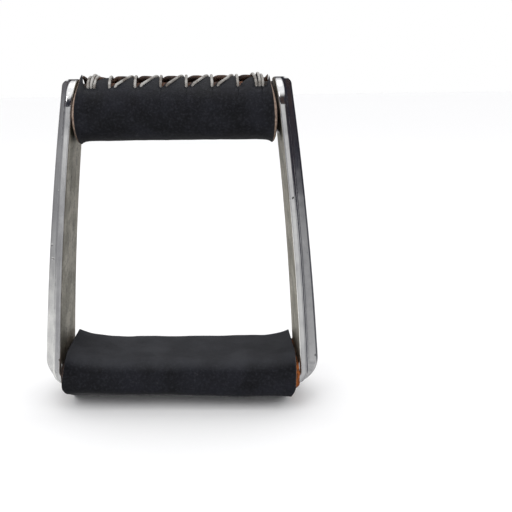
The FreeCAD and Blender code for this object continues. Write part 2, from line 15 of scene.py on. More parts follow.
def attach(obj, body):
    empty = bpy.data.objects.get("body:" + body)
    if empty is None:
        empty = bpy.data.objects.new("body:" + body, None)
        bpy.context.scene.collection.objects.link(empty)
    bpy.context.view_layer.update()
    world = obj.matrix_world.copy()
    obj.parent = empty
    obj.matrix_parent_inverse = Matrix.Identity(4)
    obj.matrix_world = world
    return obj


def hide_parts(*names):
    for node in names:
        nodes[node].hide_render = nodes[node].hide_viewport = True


MM = 0.001
LEATHER = 2.0             # thickness of the covers, mm
LINING = 1.7              # thickness of the russet leather under them, mm
FIT = 0.15                # gap between a cover and its lining, mm
THREAD = 0.72             # radius of the lacing thread, mm
THREAD_LIFT = 0.35        # how far a strand arches off the leather in the middle of its run
THREAD_DEPTH = 2.6        # how deep the ends of a strand sit in the holes
GRAIN, FLESH, CUT_END, CUT_SEAM = range(4)       # order of a leather shell's materials

# top bar
BAR_HEIGHT = 158.8
BAR_HALF_DEPTH = 14.9
BAR_HALF_HEIGHT = 12.0
COVER_OUTSET = 4.0        # outside of the top cover from the bar's metal
TOP_SEAM_Y = -3.0
TOP_HOLES = 6
TOP_HOLES_Y = (-13.4, 7.4)
TOP_HOLES_RISE = (11.0, 14.7)    # height of the same two rows over the bar's axis
TOP_LEAN = 2.8            # how late a diagonal strand makes its way along the seam
TOP_FLAT_HALF = 51.0      # half length of the top cover before it was drawn round the bar
TOP_SEAM_GAP = 4.0        # how much shorter than its outline the leather is round the bar
TOP_HALF = 50.5           # half length of the laced cover where it is longest
TOP_SHIFT = 0.5           # how far the whole cover sits to the left
TOP_BOW = 2.8             # how much each half is shorter at the crown
TOP_LONGEST = 150.5       # height at which it is longest
TOP_CROWN = 25.8          # crown of the cover over that height
# tread
TREAD_HALF_DEPTH = 24.6
TREAD_TOP = 27.3
TREAD_SIDE_LOW = 9.4
TREAD_KEEL_HALF = 5.0
TREAD_ROUND = 5.5
TREAD_PLUMP = 4.5         # extra round of the front upper edge; the back edge has half of it
TREAD_SEAM_Y = 14.6
TREAD_HOLES = 8
TREAD_HOLES_Y = (9.2, 20.0)
TREAD_LEAN = 1.6
TREAD_FLAT_HALF = 63.0    # half length of the tread cover before it was laced
TREAD_SEAM_GAP = 2.0
TREAD_LEFT = 63.7         # from the middle to the cover's left end, half way up the front face
TREAD_RIGHT = 62.0        # and to its right end
# how far from an end the leather starts to flare
TOP_FLARE = 2.0
TREAD_FLARE = 9.0
# lacing, shared by both covers
HOLE_PITCH = 13.0
HOLE_SHIFT = 2.4          # how far left of a front hole its back hole is
WRAP_STEP = 10.2          # from the last hole to the middle of the turns at that end
WRAP_PITCH = 1.6
WRAPS = 3
START_TURNS = ((-0.4, 0.0), (1.2, 1.0), (0.9, 0.1))     # lean and extra lift of each turn
END_TURNS = ((-2.6, 0.6), (-0.9, 0.9), (-0.6, 0.0))
# scallops of a seam edge: where a petal peaks and where it starts to fall, as shares of the way
# to the next hole, then valley beyond the row of holes and tip short of the seam, in mm
TOP_FRONT_PETALS = (0.85, 0.9, 0.9, 1.0)
TOP_BACK_PETALS = (0.5, 0.6, 2.6, 2.0)
TREAD_FRONT_PETALS = (0.6, 0.8, 1.5, 0.4)
TREAD_BACK_PETALS = (0.5, 0.7, 1.5, 0.4)
# studio and camera, in metres unless they say otherwise
FLOOR_HALF = 12.0
FLOOR_DROP = 0.0002
LIGHTS = (                # name, place, size, watts
    ("key", (-0.7, -1.1, 1.1), 0.6, 2.5),
    ("top", (0.0, 0.2, 1.4), 0.8, 2.5),
)
AIM = (0, 0, 0.09)
EYE = (0.0212, -0.3976, 0.1712)
AHEAD = (-0.0259, 0.9741, -0.2245)
UPWARD = (0.0076, 0.2248, 0.9744)
LENS_MM = 52.29
SENSOR_MM = 36
LENS_SHIFT = 0.111        # the stirrup stands left of the middle of the picture

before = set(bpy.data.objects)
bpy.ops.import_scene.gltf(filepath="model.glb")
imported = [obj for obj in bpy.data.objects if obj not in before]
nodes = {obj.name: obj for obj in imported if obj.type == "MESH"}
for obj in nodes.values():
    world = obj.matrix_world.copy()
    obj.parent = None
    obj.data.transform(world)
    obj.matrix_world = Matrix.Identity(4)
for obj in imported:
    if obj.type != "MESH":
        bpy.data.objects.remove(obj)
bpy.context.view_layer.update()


# ---------------------------------------------------------------- cross-sections

class Section:
    """A closed outline in the YZ plane that can be walked by length, in mm."""

    def __init__(self, y, z):
        self.y = np.append(y, y[0])
        self.z = np.append(z, z[0])
        step = np.hypot(np.diff(self.y), np.diff(self.z))
        self.at = np.concatenate([[0.0], np.cumsum(step)])
        self.length = self.at[-1]
        area = np.sum(self.y[:-1] * self.z[1:] - self.y[1:] * self.z[:-1])
        self.turn = -1.0 if area > 0 else 1.0

    def point(self, s):
        s = np.mod(s, self.length)
        return np.interp(s, self.at, self.y), np.interp(s, self.at, self.z)

    def normal(self, s, reach=0.6):
        """Unit normal that points away from the bar."""
        y0, z0 = self.point(s - reach)
        y1, z1 = self.point(s + reach)
        across, up = y1 - y0, z1 - z0
        size = np.maximum(np.hypot(across, up), 1e-9)
        return -self.turn * up / size, self.turn * across / size

    def nearest(self, y, z):
        """Length along the outline at which it comes nearest to a point."""
        return self.at[np.argmin(np.hypot(self.y - y, self.z - z))]


def oval_section(outset, start_y):
    """Oval round the top bar, walked from start_y on its crown to the front and down."""
    half_y = BAR_HALF_DEPTH + outset
    half_z = BAR_HALF_HEIGHT + outset
    start = math.asin(-start_y / half_y)
    turn = start + np.linspace(0, 2 * math.pi, 721)[:-1]
    return Section(-half_y * np.sin(turn), BAR_HEIGHT + half_z * np.cos(turn))


def tread_section(inset, start_y, plump=0.0):
    """Outline of the tread cover, walked from start_y on its underside to the front and up."""
    slope = math.atan2(TREAD_SIDE_LOW, TREAD_HALF_DEPTH - TREAD_KEEL_HALF)
    keel = TREAD_KEEL_HALF - inset * math.tan(slope / 2)
    side = TREAD_HALF_DEPTH - inset
    low = TREAD_SIDE_LOW + inset * math.tan(math.pi / 4 - slope / 2)
    corners = [
        (side, low, TREAD_ROUND - inset),
        (keel, inset, 2.0),
        (-keel, inset, 2.0),
        (-side, low, TREAD_ROUND - inset),
        (-side, TREAD_TOP - inset, TREAD_ROUND + plump - inset),
        (side, TREAD_TOP - inset, TREAD_ROUND + plump / 2 - inset),
    ]
    ys, zs = [], []
    for k, (y, z, radius) in enumerate(corners):
        here = Vector((y, z))
        back = (Vector(corners[k - 1][:2]) - here).normalized()
        ahead = (Vector(corners[(k + 1) % len(corners)][:2]) - here).normalized()
        half_turn = (math.pi - back.angle(ahead)) / 2
        reach = radius * math.tan(half_turn)
        centre = here + (back + ahead).normalized() * (radius / math.cos(half_turn))
        first = here + back * reach - centre
        last = here + ahead * reach - centre
        for t in np.linspace(0, 1, 25):
            spoke = (first * (1 - t) + last * t).normalized() * radius
            ys.append(centre.x + spoke.x)
            zs.append(centre.y + spoke.y)
    ring = Section(np.array(ys), np.array(zs))
    fine = np.linspace(0, ring.length, 1201)[:-1]
    y, z = ring.point(fine)
    under = z < TREAD_SIDE_LOW
    first = int(np.argmin(np.where(under, np.abs(y - start_y), 1e9)))
    return Section(np.roll(y, -first), np.roll(z, -first))


# ---------------------------------------------------------------- meshes

def smooth(low, high, value):
    t = np.clip((value - low) / (high - low), 0, 1)
    return t * t * (3 - 2 * t)


def ripple(x, s, seed, scale, count=7):
    """Smooth uneven bumps of about unit height and the given length in mm."""
    random = np.random.default_rng(seed)
    total = np.zeros(np.broadcast(x, s).shape)
    for _ in range(count):
        heading = random.uniform(0, 2 * math.pi)
        wave = 2 * math.pi / (scale * random.uniform(0.7, 1.6))
        phase = random.uniform(0, 2 * math.pi)
        total += np.sin(wave * (np.cos(heading) * x + np.sin(heading) * s) + phase)
    return total / math.sqrt(count)


def mesh_object(name, points, faces, materials, face_material=None):
    mesh = bpy.data.meshes.new(name)
    mesh.from_pydata((np.asarray(points) * MM).tolist(), [], faces)
    for material in materials:
        mesh.materials.append(material)
    if face_material is not None:
        mesh.polygons.foreach_set("material_index", face_material)
    mesh.polygons.foreach_set("use_smooth", [True] * len(mesh.polygons))
    shape = bmesh.new()
    shape.from_mesh(mesh)
    bmesh.ops.recalc_face_normals(shape, faces=shape.faces)
    shape.to_mesh(mesh)
    shape.free()
    obj = bpy.data.objects.new(name, mesh)
    bpy.context.scene.collection.objects.link(obj)
    return obj


def shell(name, outer, inner, materials, round_edge=0.25):
    """A closed leather shell from an outer and an inner grid of points, [along, round, xyz].

    Its materials are the grain side, the flesh side, the cut ends and the cut seam edges.
    """
    along, around = outer.shape[:2]
    middle = (outer + inner) / 2

    def rim(edge, before):
        """Points half way through the thickness, bulging out past the cut."""
        away = edge - before
        size = np.linalg.norm(away, axis=-1, keepdims=True)
        return edge + away / np.maximum(size, 1e-9) * round_edge

    ends = [rim(middle[0], middle[1]), rim(middle[-1], middle[-2])]
    seams = [rim(middle[:, 0], middle[:, 1]), rim(middle[:, -1], middle[:, -2])]
    points = [outer.reshape(-1, 3), inner.reshape(-1, 3), *ends, *seams]
    starts = np.concatenate([[0], np.cumsum([len(p) for p in points])])
    faces, kinds = [], []

    def add(a, b, c, d, kind):
        faces.append((int(a), int(b), int(c), int(d)))
        kinds.append(kind)

    outer_at = np.arange(along * around).reshape(along, around)
    inner_at = outer_at + starts[1]
    for i in range(along - 1):
        for j in range(around - 1):
            add(outer_at[i, j], outer_at[i, j + 1], outer_at[i + 1, j + 1], outer_at[i + 1, j], GRAIN)
            add(inner_at[i, j], inner_at[i + 1, j], inner_at[i + 1, j + 1], inner_at[i, j + 1], FLESH)
    first_end = starts[2] + np.arange(around)
    last_end = starts[3] + np.arange(around)
    for j in range(around - 1):
        add(outer_at[0, j + 1], outer_at[0, j], first_end[j], first_end[j + 1], CUT_END)
        add(first_end[j + 1], first_end[j], inner_at[0, j], inner_at[0, j + 1], CUT_END)
        add(outer_at[-1, j], outer_at[-1, j + 1], last_end[j + 1], last_end[j], CUT_END)
        add(last_end[j], last_end[j + 1], inner_at[-1, j + 1], inner_at[-1, j], CUT_END)
    first_seam = starts[4] + np.arange(along)
    last_seam = starts[5] + np.arange(along)
    for i in range(along - 1):
        add(outer_at[i, 0], outer_at[i + 1, 0], first_seam[i + 1], first_seam[i], CUT_SEAM)
        add(first_seam[i], first_seam[i + 1], inner_at[i + 1, 0], inner_at[i, 0], CUT_SEAM)
        add(outer_at[i + 1, -1], outer_at[i, -1], last_seam[i], last_seam[i + 1], CUT_SEAM)
        add(last_seam[i + 1], last_seam[i], inner_at[i, -1], inner_at[i + 1, -1], CUT_SEAM)
    for i, end, side, seam in ((0, first_end, 0, first_seam), (0, first_end, -1, last_seam),
                               (-1, last_end, 0, first_seam), (-1, last_end, -1, last_seam)):
        first, last = outer_at[i, side], inner_at[i, side]
        if (i == 0) == (side == 0):
            first, last = last, first
        add(first, end[side], last, seam[i], CUT_END)
    return mesh_object(name, np.concatenate(points), faces, materials, kinds)


def place_on(section, x, s, lift):
    """Points at x and s that stand lift mm off a section, as an array [..., xyz]."""
    y, z = section.point(s)
    out_y, out_z = section.normal(s)
    return np.stack([x + 0 * s, y + out_y * lift, z + out_z * lift], axis=-1)


def dimples(x, s, spots, size, depth):
    """Hollows of the given size and depth round the lacing holes."""
    total = np.zeros(x.shape)
    for spot_x, spot_s in spots:
        total -= depth * np.exp(-((x - spot_x) ** 2 + (s - spot_s) ** 2) / size ** 2)
    return total


# ---------------------------------------------------------------- lacing

def evenly(count, pitch):
    """Places at equal steps, with 0 in their middle."""
    return [(k - (count - 1) / 2) * pitch for k in range(count)]


class Lacing:
    """Where the holes of one seam are, and how the thread runs between them.

    rows holds the lengths round the section of the front and the back row of holes.
    """

    def __init__(self, section, holes, rows, lean):
        self.section = section
        self.front, self.back = rows
        self.lean = lean
        self.holes = evenly(holes, HOLE_PITCH)
        last = self.holes[-1] + WRAP_STEP
        steps = evenly(WRAPS, WRAP_PITCH)
        self.wraps = {sign: [sign * last + step for step in steps] for sign in (-1, 1)}

    def spots(self, length):
        """All the holes as (x, s), for a cover whose outline has this length."""
        turns = [x for sign in (-1, 1) for x in self.wraps[sign]]
        front = [(x, self.front) for x in self.holes + turns]
        shifted = [x - HOLE_SHIFT for x in self.holes]
        back = [(x, self.back + length) for x in shifted + turns]
        return front, back


def petal_share(x, places, peak, fall):
    """Share of a petal's height at x: 0 at each lacing hole, rising to 1 before the next."""
    stops = np.array(places)
    k = np.clip(np.searchsorted(stops, x, side="right") - 1, 0, len(stops) - 2)
    u = np.clip((x - stops[k]) / (stops[k + 1] - stops[k]), 0, 1)
    rise = 1 - np.clip(1 - u / peak, 0, 1) ** 1.7
    drop = smooth(1.0, fall, u)
    return np.minimum(rise, drop)


def scallops(lacing, x, length, outside, front_petals, back_petals):
    """Lengths round the section of a cover's two seam edges at x, and the petals' shares.

    Where outside is 1, beyond the last turn of thread, the edges run on at the petals' tips.
    """
    stops = [lacing.wraps[-1][0]] + lacing.holes + [lacing.wraps[1][-1]]
    peak, fall, foot, gap = front_petals
    front_share = np.maximum(petal_share(x, stops, peak, fall), outside)
    valley = lacing.front - foot
    front_edge = valley + (gap - valley) * front_share
    mirrored = [HOLE_SHIFT - stop for stop in reversed(stops)]
    peak, fall, foot, gap = back_petals
    back_share = np.maximum(petal_share(-x, mirrored, peak, fall), outside)
    valley = length + lacing.back + foot
    back_edge = valley + (length - gap - valley) * back_share
    return front_edge, back_edge, front_share, back_share


def strand(lacing, start_x, end_x, lean=1.0, more=0.0):
    """Points of one strand from a front hole over the seam to a back hole."""
    t = np.linspace(0, 1, 90)
    s = lacing.front + (lacing.back - lacing.front) * t
    x = start_x + (end_x - start_x) * (1 - (1 - t) ** lean)
    out = smooth(0, 0.09, t) * smooth(1, 0.91, t)
    arch = np.sin(math.pi * t) ** 0.8
    height = -THREAD_DEPTH + out * (THREAD_DEPTH + THREAD * 0.85)
    height += (THREAD_LIFT + more) * arch * out
    return place_on(lacing.section, x, s, height)


def thread_mesh(name, strands, material, seed):
    """Twisted three-ply threads along the given centrelines."""
    random = np.random.default_rng(seed)
    sides = 15
    turn_length = 3.6
    step_length = 0.22
    points, faces = [], []
    for path in strands:
        step = np.linalg.norm(np.diff(path, axis=0), axis=1)
        at = np.concatenate([[0], np.cumsum(step)])
        count = max(int(at[-1] / step_length), 8)
        even = np.linspace(0, at[-1], count)
        line = np.stack([np.interp(even, at, path[:, k]) for k in range(3)], axis=1)
        tangent = np.gradient(line, axis=0)
        tangent /= np.linalg.norm(tangent, axis=1, keepdims=True)
        side = np.cross(tangent, [0.31, 0.2, 0.93])
        side /= np.linalg.norm(side, axis=1, keepdims=True)
        up = np.cross(side, tangent)
        start = len(points) * sides
        phase = random.uniform(0, 2 * math.pi)
        for k in range(count):
            angle = np.arange(sides) * 2 * math.pi / sides
            ply = np.abs(np.cos(1.5 * (angle - 2 * math.pi * even[k] / turn_length + phase)))
            radius = THREAD * (0.80 + 0.22 * ply)
            ring = (
                line[k]
                + np.outer(np.cos(angle) * radius, side[k])
                + np.outer(np.sin(angle) * radius, up[k])
            )
            points.append(ring)
        for k in range(count - 1):
            for j in range(sides):
                a = start + k * sides + j
                b = start + k * sides + (j + 1) % sides
                faces.append((a, b, b + sides, a + sides))
        faces.append(tuple(start + j for j in reversed(range(sides))))
        faces.append(tuple(start + (count - 1) * sides + j for j in range(sides)))
    return mesh_object(name, np.concatenate(points), faces, [material])


def wrap_strands(lacing, sign, layout):
    """The turns of thread at one end of a seam."""
    pairs = zip(lacing.wraps[sign], layout)
    return [strand(lacing, x, x + lean, more=more) for x, (lean, more) in pairs]


def lace(prefix, lacing, material):
    """All the strands of one lace, in four groups that stand for the four CAD nodes."""
    holes = lacing.holes
    beside = THREAD + 0.1
    groups = {
        "straight_strands": [
            strand(lacing, x - beside, x - HOLE_SHIFT + beside) for x in holes
        ],
        "diagonal_strands": [
            strand(lacing, x + beside, after - HOLE_SHIFT - beside, lacing.lean)
            for x, after in zip(holes, holes[1:])
        ],
        "start_wraps": wrap_strands(lacing, -1, START_TURNS),
        "end_wraps": wrap_strands(lacing, 1, END_TURNS),
    }
    for seed, (group, strands) in enumerate(groups.items()):
        node = f"{prefix}_lace_{group}"
        piece = thread_mesh(f"{node}_thread", strands, material, seed + 1)
        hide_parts(node)
        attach(piece, "root")


# ---------------------------------------------------------------- leather pieces

def spaced_rows(length, fine, coarse, rim):
    """Rows round a sleeve, close together near its two edges."""
    near = np.linspace(0, rim, int(rim / fine) + 1)[:-1]
    middle = np.linspace(rim, length - rim, int((length - 2 * rim) / coarse) + 1)
    return np.concatenate([near, middle, length - near[::-1]]) / length


def declare_leather(piece, node, flat):
    """Hides the CAD node that a leather piece stands for and hangs the piece under the root body; its
    flat size, given in mm, is turned into metres but not used.
    """
    flat = (flat[0] * MM, flat[1] * MM)
    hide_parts(node)
    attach(piece, "root")


def make_top_cover(materials):
    section = oval_section(COVER_OUTSET, TOP_SEAM_Y)
    length = section.length
    front, back = (
        section.nearest(y, BAR_HEIGHT + rise) for y, rise in zip(TOP_HOLES_Y, TOP_HOLES_RISE)
    )
    lacing = Lacing(section, TOP_HOLES, (front, back - length), TOP_LEAN)
    u = np.linspace(-1, 1, 421)
    v = spaced_rows(length, 0.4, 0.9, 16)
    u, v = np.meshgrid(u, v, indexing="ij")
    # the ends, which stand further from the plates at the crown
    height = section.point(v * length)[1]
    end = TOP_HALF - TOP_SHIFT * np.sign(u) - TOP_BOW * ((height - TOP_LONGEST) / TOP_CROWN) ** 2
    x = u * end
    # scalloped edges of the two flaps
    outside = smooth(46, 48.5, np.abs(x))
    front_edge, back_edge, front_share, back_share = scallops(
        lacing, x, length, outside, TOP_FRONT_PETALS, TOP_BACK_PETALS
    )
    s = front_edge + (back_edge - front_edge) * v
    to_front = s - front_edge
    to_back = back_edge - s
    to_end = end - np.abs(x)
    # relief: flared ends, lifted petals and corners, hollows at the holes, uneven hide
    flare = 1.7 * np.exp(-to_end / TOP_FLARE)
    flare *= (1 - 0.6 * smooth(26, 8, s)) * smooth(length, length - 25, s)
    petal = 0.8 * front_share * np.exp(-(to_front / 4.5) ** 2)
    petal += 1.2 * back_share * np.exp(-(to_back / 3.0) ** 2)
    corner = outside * (1.1 * np.exp(-(to_front / 6) ** 2) + 0.6 * np.exp(-(to_back / 5) ** 2))
    relief = flare + petal + corner
    for spots in lacing.spots(length):
        relief += dimples(x, s, spots, 1.5, 1.0)
    relief += 0.10 * ripple(x, s, 4, 26) + 0.035 * ripple(x, s, 5, 7)
    relief = np.maximum(relief, -0.4)
    # the flesh side lies along the flared normal, so that the cut ends show from the front
    lean = np.arctan(flare / TOP_FLARE)
    outer = place_on(section, x, s, relief)
    inner_x = x + np.sign(u) * LEATHER * np.sin(lean)
    inner = place_on(section, inner_x, s, relief - LEATHER * np.cos(lean))
    piece = shell("top_bar_cover_leather", outer, inner, materials)
    flat = (2 * TOP_FLAT_HALF, length - TOP_SEAM_GAP)
    declare_leather(piece, "top_bar_cover", flat)
    return lacing


def make_tread_cover(materials):
    section = tread_section(0.0, TREAD_SEAM_Y, TREAD_PLUMP)
    length = section.length
    slope = TREAD_SIDE_LOW / (TREAD_HALF_DEPTH - TREAD_KEEL_HALF)
    front, back = (section.nearest(y, (y - TREAD_KEEL_HALF) * slope) for y in TREAD_HOLES_Y)
    lacing = Lacing(section, TREAD_HOLES, (front, back - length), TREAD_LEAN)
    u = np.linspace(-1, 1, 421)
    v = spaced_rows(length, 0.4, 1.0, 8)
    u, v = np.meshgrid(u, v, indexing="ij")
    # the ends, cut back at the upper and lower corners
    height = section.point(v * length)[1]
    low_corner = smooth(13, 7, height)
    high_corner = smooth(14, 27, height)
    left_end = TREAD_LEFT - 2.6 * high_corner
    right_end = TREAD_RIGHT - 0.1 * high_corner
    end = np.where(u < 0, left_end, right_end) - 2.2 * low_corner
    x = u * end
    outside = smooth(59, 61, np.abs(x))
    front_edge, back_edge, _, _ = scallops(
        lacing, x, length, outside, TREAD_FRONT_PETALS, TREAD_BACK_PETALS
    )
    s = front_edge + (back_edge - front_edge) * v
    to_end = end - np.abs(x)
    # relief: flared ends, a hollow where the foot rests, a sag in front, holes, uneven hide
    y, height = section.point(s)
    on_top = smooth(14, 27, height)
    flare = on_top * (3.5 - 0.4 * np.sign(x)) * np.exp(-(to_end / TREAD_FLARE) ** 1.3)
    flare += 0.5 * np.exp(-to_end / 2.0) * smooth(4, 12, height)
    hollow = -0.5 * on_top * smooth(30, 0, np.abs(x)) * np.exp(-(y / 17) ** 4)
    sag = 1.6 * smooth(-50, 50, x) * np.exp(-((height - 7) / 5) ** 2) * smooth(-16, -22, y)
    relief = flare + hollow + sag
    for spots in lacing.spots(length):
        relief += dimples(x, s, spots, 1.4, 0.9)
    waves = 0.22 * ripple(x, s, 14, 30) + 0.05 * ripple(x, s, 15, 8)
    relief += waves * smooth(2, 10, height)
    outer = place_on(section, x, s, relief)
    inner = place_on(section, x, s, relief - LEATHER)
    piece = shell("tread_cover_leather", outer, inner, materials)
    flat = (2 * TREAD_FLAT_HALF, length - TREAD_SEAM_GAP)
    declare_leather(piece, "tread_cover", flat)
    return lacing


def make_lining(name, node, section, ends, materials, seed):
    """A plain turn of leather next to the metal, with a butt joint opposite the laced seam.

    ends gives the half length at a height.
    """
    length = section.length
    half_gap = 0.3
    u = np.linspace(-1, 1, 161)
    s = np.linspace(half_gap, length - half_gap, 181) + length / 2
    u, s = np.meshgrid(u, s, indexing="ij")
    height = section.point(s)[1]
    uneven = 0.25 * ripple(u * 40, s, seed, 18)
    x = u * (ends(height) + uneven * np.abs(u) ** 8)
    relief = 0.05 * ripple(x, s, seed + 1, 11)
    outer = place_on(section, x, s, relief - 0.1)
    inner = place_on(section, x, s, relief - LINING)
    piece = shell(name, outer, inner, materials, 0.15)
    flat = (2 * ends(height).mean(), length)
    declare_leather(piece, node, flat)


# ---------------------------------------------------------------- materials

def colour(red, green, blue):
    """Linear colour from a screen colour of 0 to 255."""
    def linear(c):
        c /= 255
        return c / 12.92 if c <= 0.04045 else ((c + 0.055) / 1.055) ** 2.4
    return (linear(red), linear(green), linear(blue), 1.0)


class Nodes:
    """Short names for the nodes of one material or world."""

    def __init__(self, tree):
        self.tree = tree

    def add(self, kind, **values):
        node = self.tree.nodes.new(kind)
        for name, value in values.items():
            setattr(node, name, value)
        return node

    def link(self, source, target):
        self.tree.links.new(source, target)

    def fill(self, socket, value):
        if isinstance(value, bpy.types.NodeSocket):
            self.link(value, socket)
        else:
            socket.default_value = value

    def noise(self, where, scale, detail=4, roughness=0.55, stretch=None):
        if stretch:
            mapping = self.add("ShaderNodeMapping")
            mapping.inputs["Scale"].default_value = stretch
            self.link(where, mapping.inputs["Vector"])
            where = mapping.outputs["Vector"]
        node = self.add("ShaderNodeTexNoise")
        self.link(where, node.inputs["Vector"])
        node.inputs["Scale"].default_value = scale
        node.inputs["Detail"].default_value = detail
        node.inputs["Roughness"].default_value = roughness
        return node.outputs["Fac"]

    def cells(self, where, scale, feature="F1"):
        node = self.add("ShaderNodeTexVoronoi", feature=feature)
        self.link(where, node.inputs["Vector"])
        node.inputs["Scale"].default_value = scale
        return node.outputs["Distance"]

    def span(self, value, low, high, to_low=0.0, to_high=1.0):
        node = self.add("ShaderNodeMapRange", interpolation_type="SMOOTHSTEP")
        for name, amount in (("Value", value), ("From Min", low), ("From Max", high),
                             ("To Min", to_low), ("To Max", to_high)):
            self.fill(node.inputs[name], amount)
        return node.outputs["Result"]

    def math(self, operation, a, b=0.0):
        node = self.add("ShaderNodeMath", operation=operation)
        self.fill(node.inputs[0], a)
        self.fill(node.inputs[1], b)
        return node.outputs[0]

    def times(self, a, b):
        return self.math("MULTIPLY", a, b)

    def plus(self, a, b):
        return self.math("ADD", a, b)

    def mix(self, share, a, b):
        node = self.add("ShaderNodeMix", data_type="RGBA")
        for socket, value in ((node.inputs[0], share), (node.inputs[6], a), (node.inputs[7], b)):
            self.fill(socket, value)
        return node.outputs[2]

    def split(self, vector):
        node = self.add("ShaderNodeSeparateXYZ")
        self.link(vector, node.inputs[0])
        return node.outputs

    def bump(self, height, strength, distance, normal=None):
        node = self.add("ShaderNodeBump")
        self.link(height, node.inputs["Height"])
        node.inputs["Strength"].default_value = strength
        node.inputs["Distance"].default_value = distance
        if normal is not None:
            self.link(normal, node.inputs["Normal"])
        return node.outputs["Normal"]


def new_material(name):
    """A material, its node helper, its shader's inputs and the object's own coordinates."""
    material = bpy.data.materials.new(name)
    material.use_nodes = True
    kit = Nodes(material.node_tree)
    shader = material.node_tree.nodes["Principled BSDF"].inputs
    where = kit.add("ShaderNodeTexCoord").outputs
    return material, kit, shader, where


def black_leather():
    material, kit, shader, where = new_material("black_leather_grain")
    place = where["Object"]
    cloud = kit.noise(place, 55, 5)
    scuffs = kit.noise(place, 420, 6, 0.7)
    # lighter on faces that point up, most on the tread: part real dust, part painted light from above
    up = kit.split(where["Normal"])[2]
    tread = kit.span(kit.split(place)[2], 0.04, 0.02)
    dust_and_top_light_mask = kit.times(kit.span(up, 0.35, 1.03), kit.plus(tread, 0.25))
    base = kit.mix(kit.span(cloud, 0.36, 0.64), colour(9, 10, 16), colour(23, 24, 31))
    speck = kit.span(kit.noise(place, 800, 5, 0.65), 0.46, 0.68, 0, 0.35)
    base = kit.mix(speck, base, colour(48, 49, 56))
    rubbed = kit.times(kit.span(scuffs, 0.56, 0.74), kit.span(cloud, 0.45, 0.6, 0.05, 0.5))
    worn = kit.mix(rubbed, base, colour(66, 66, 70))
    dust_and_top_light = kit.times(dust_and_top_light_mask, kit.span(cloud, 0.35, 0.65, 0.55, 0.95))
    dusted_and_top_lit = kit.mix(dust_and_top_light, worn, colour(58, 59, 63))
    kit.link(dusted_and_top_lit, shader["Base Color"])
    kit.link(kit.span(cloud, 0.3, 0.7, 0.62, 0.8), shader["Roughness"])
    shader["Specular IOR Level"].default_value = 0.22
    grain = kit.bump(kit.cells(place, 1700), 0.28, 0.0002)
    folds = kit.bump(kit.noise(place, 420, 6), 0.35, 0.0004, grain)
    kit.link(folds, shader["Normal"])
    return material


def cut_leather(name, light, dark, stained, unshaded_stretch=None):
    """Bare cut or flesh side of leather: fibrous, with dye that has soaked in from the grain.

    The last argument, if given, is the stretch along the bar, in metres, beyond which the leather is
    painted near black: painted shade where the lining's ends sit in the gaps between the covers and
    the plates.
    """
    material, kit, shader, where = new_material(name)
    place = where["Object"]
    fibre = kit.noise(place, 900, 6, 0.65)
    blotch = kit.noise(place, 130, 3)
    base = kit.mix(kit.span(fibre, 0.35, 0.68), dark, light)
    dyed_and_end_shaded = kit.mix(kit.span(blotch, 0.5 - stained / 2, 0.75), base, colour(38, 33, 32))
    if unshaded_stretch:
        # painted shade: near black beyond the given stretch, where the ends lie in the shaded gaps
        # between the covers and the plates
        patchy = kit.times(kit.math("SUBTRACT", blotch, 0.5), 0.012)
        along = kit.plus(kit.split(place)[0], patchy)
        left = kit.span(along, unshaded_stretch[0], unshaded_stretch[0] - 0.002, 0, 0.96)
        right = kit.span(along, unshaded_stretch[1], unshaded_stretch[1] + 0.002, 0, 0.96)
        dyed_and_end_shaded = kit.mix(kit.math("MAXIMUM", left, right), dyed_and_end_shaded, colour(24, 20, 20))
    kit.link(dyed_and_end_shaded, shader["Base Color"])
    kit.link(kit.span(fibre, 0.3, 0.7, 0.75, 0.95), shader["Roughness"])
    kit.link(kit.bump(fibre, 0.6, 0.0004), shader["Normal"])
    return material


def waxed_thread():
    material, kit, shader, where = new_material("waxed_thread_plies")
    place = where["Object"]
    dirt = kit.noise(place, 160, 4)
    fluff = kit.noise(place, 2600, 3)
    base = kit.mix(kit.span(dirt, 0.38, 0.66), colour(172, 170, 166), colour(112, 105, 98))
    worn = kit.mix(kit.span(fluff, 0.5, 0.8, 0, 0.35), base, colour(96, 88, 82))
    kit.link(worn, shader["Base Color"])
    kit.link(kit.span(fluff, 0.3, 0.7, 0.5, 0.7), shader["Roughness"])
    kit.link(kit.bump(fluff, 0.4, 0.0002), shader["Normal"])
    return material


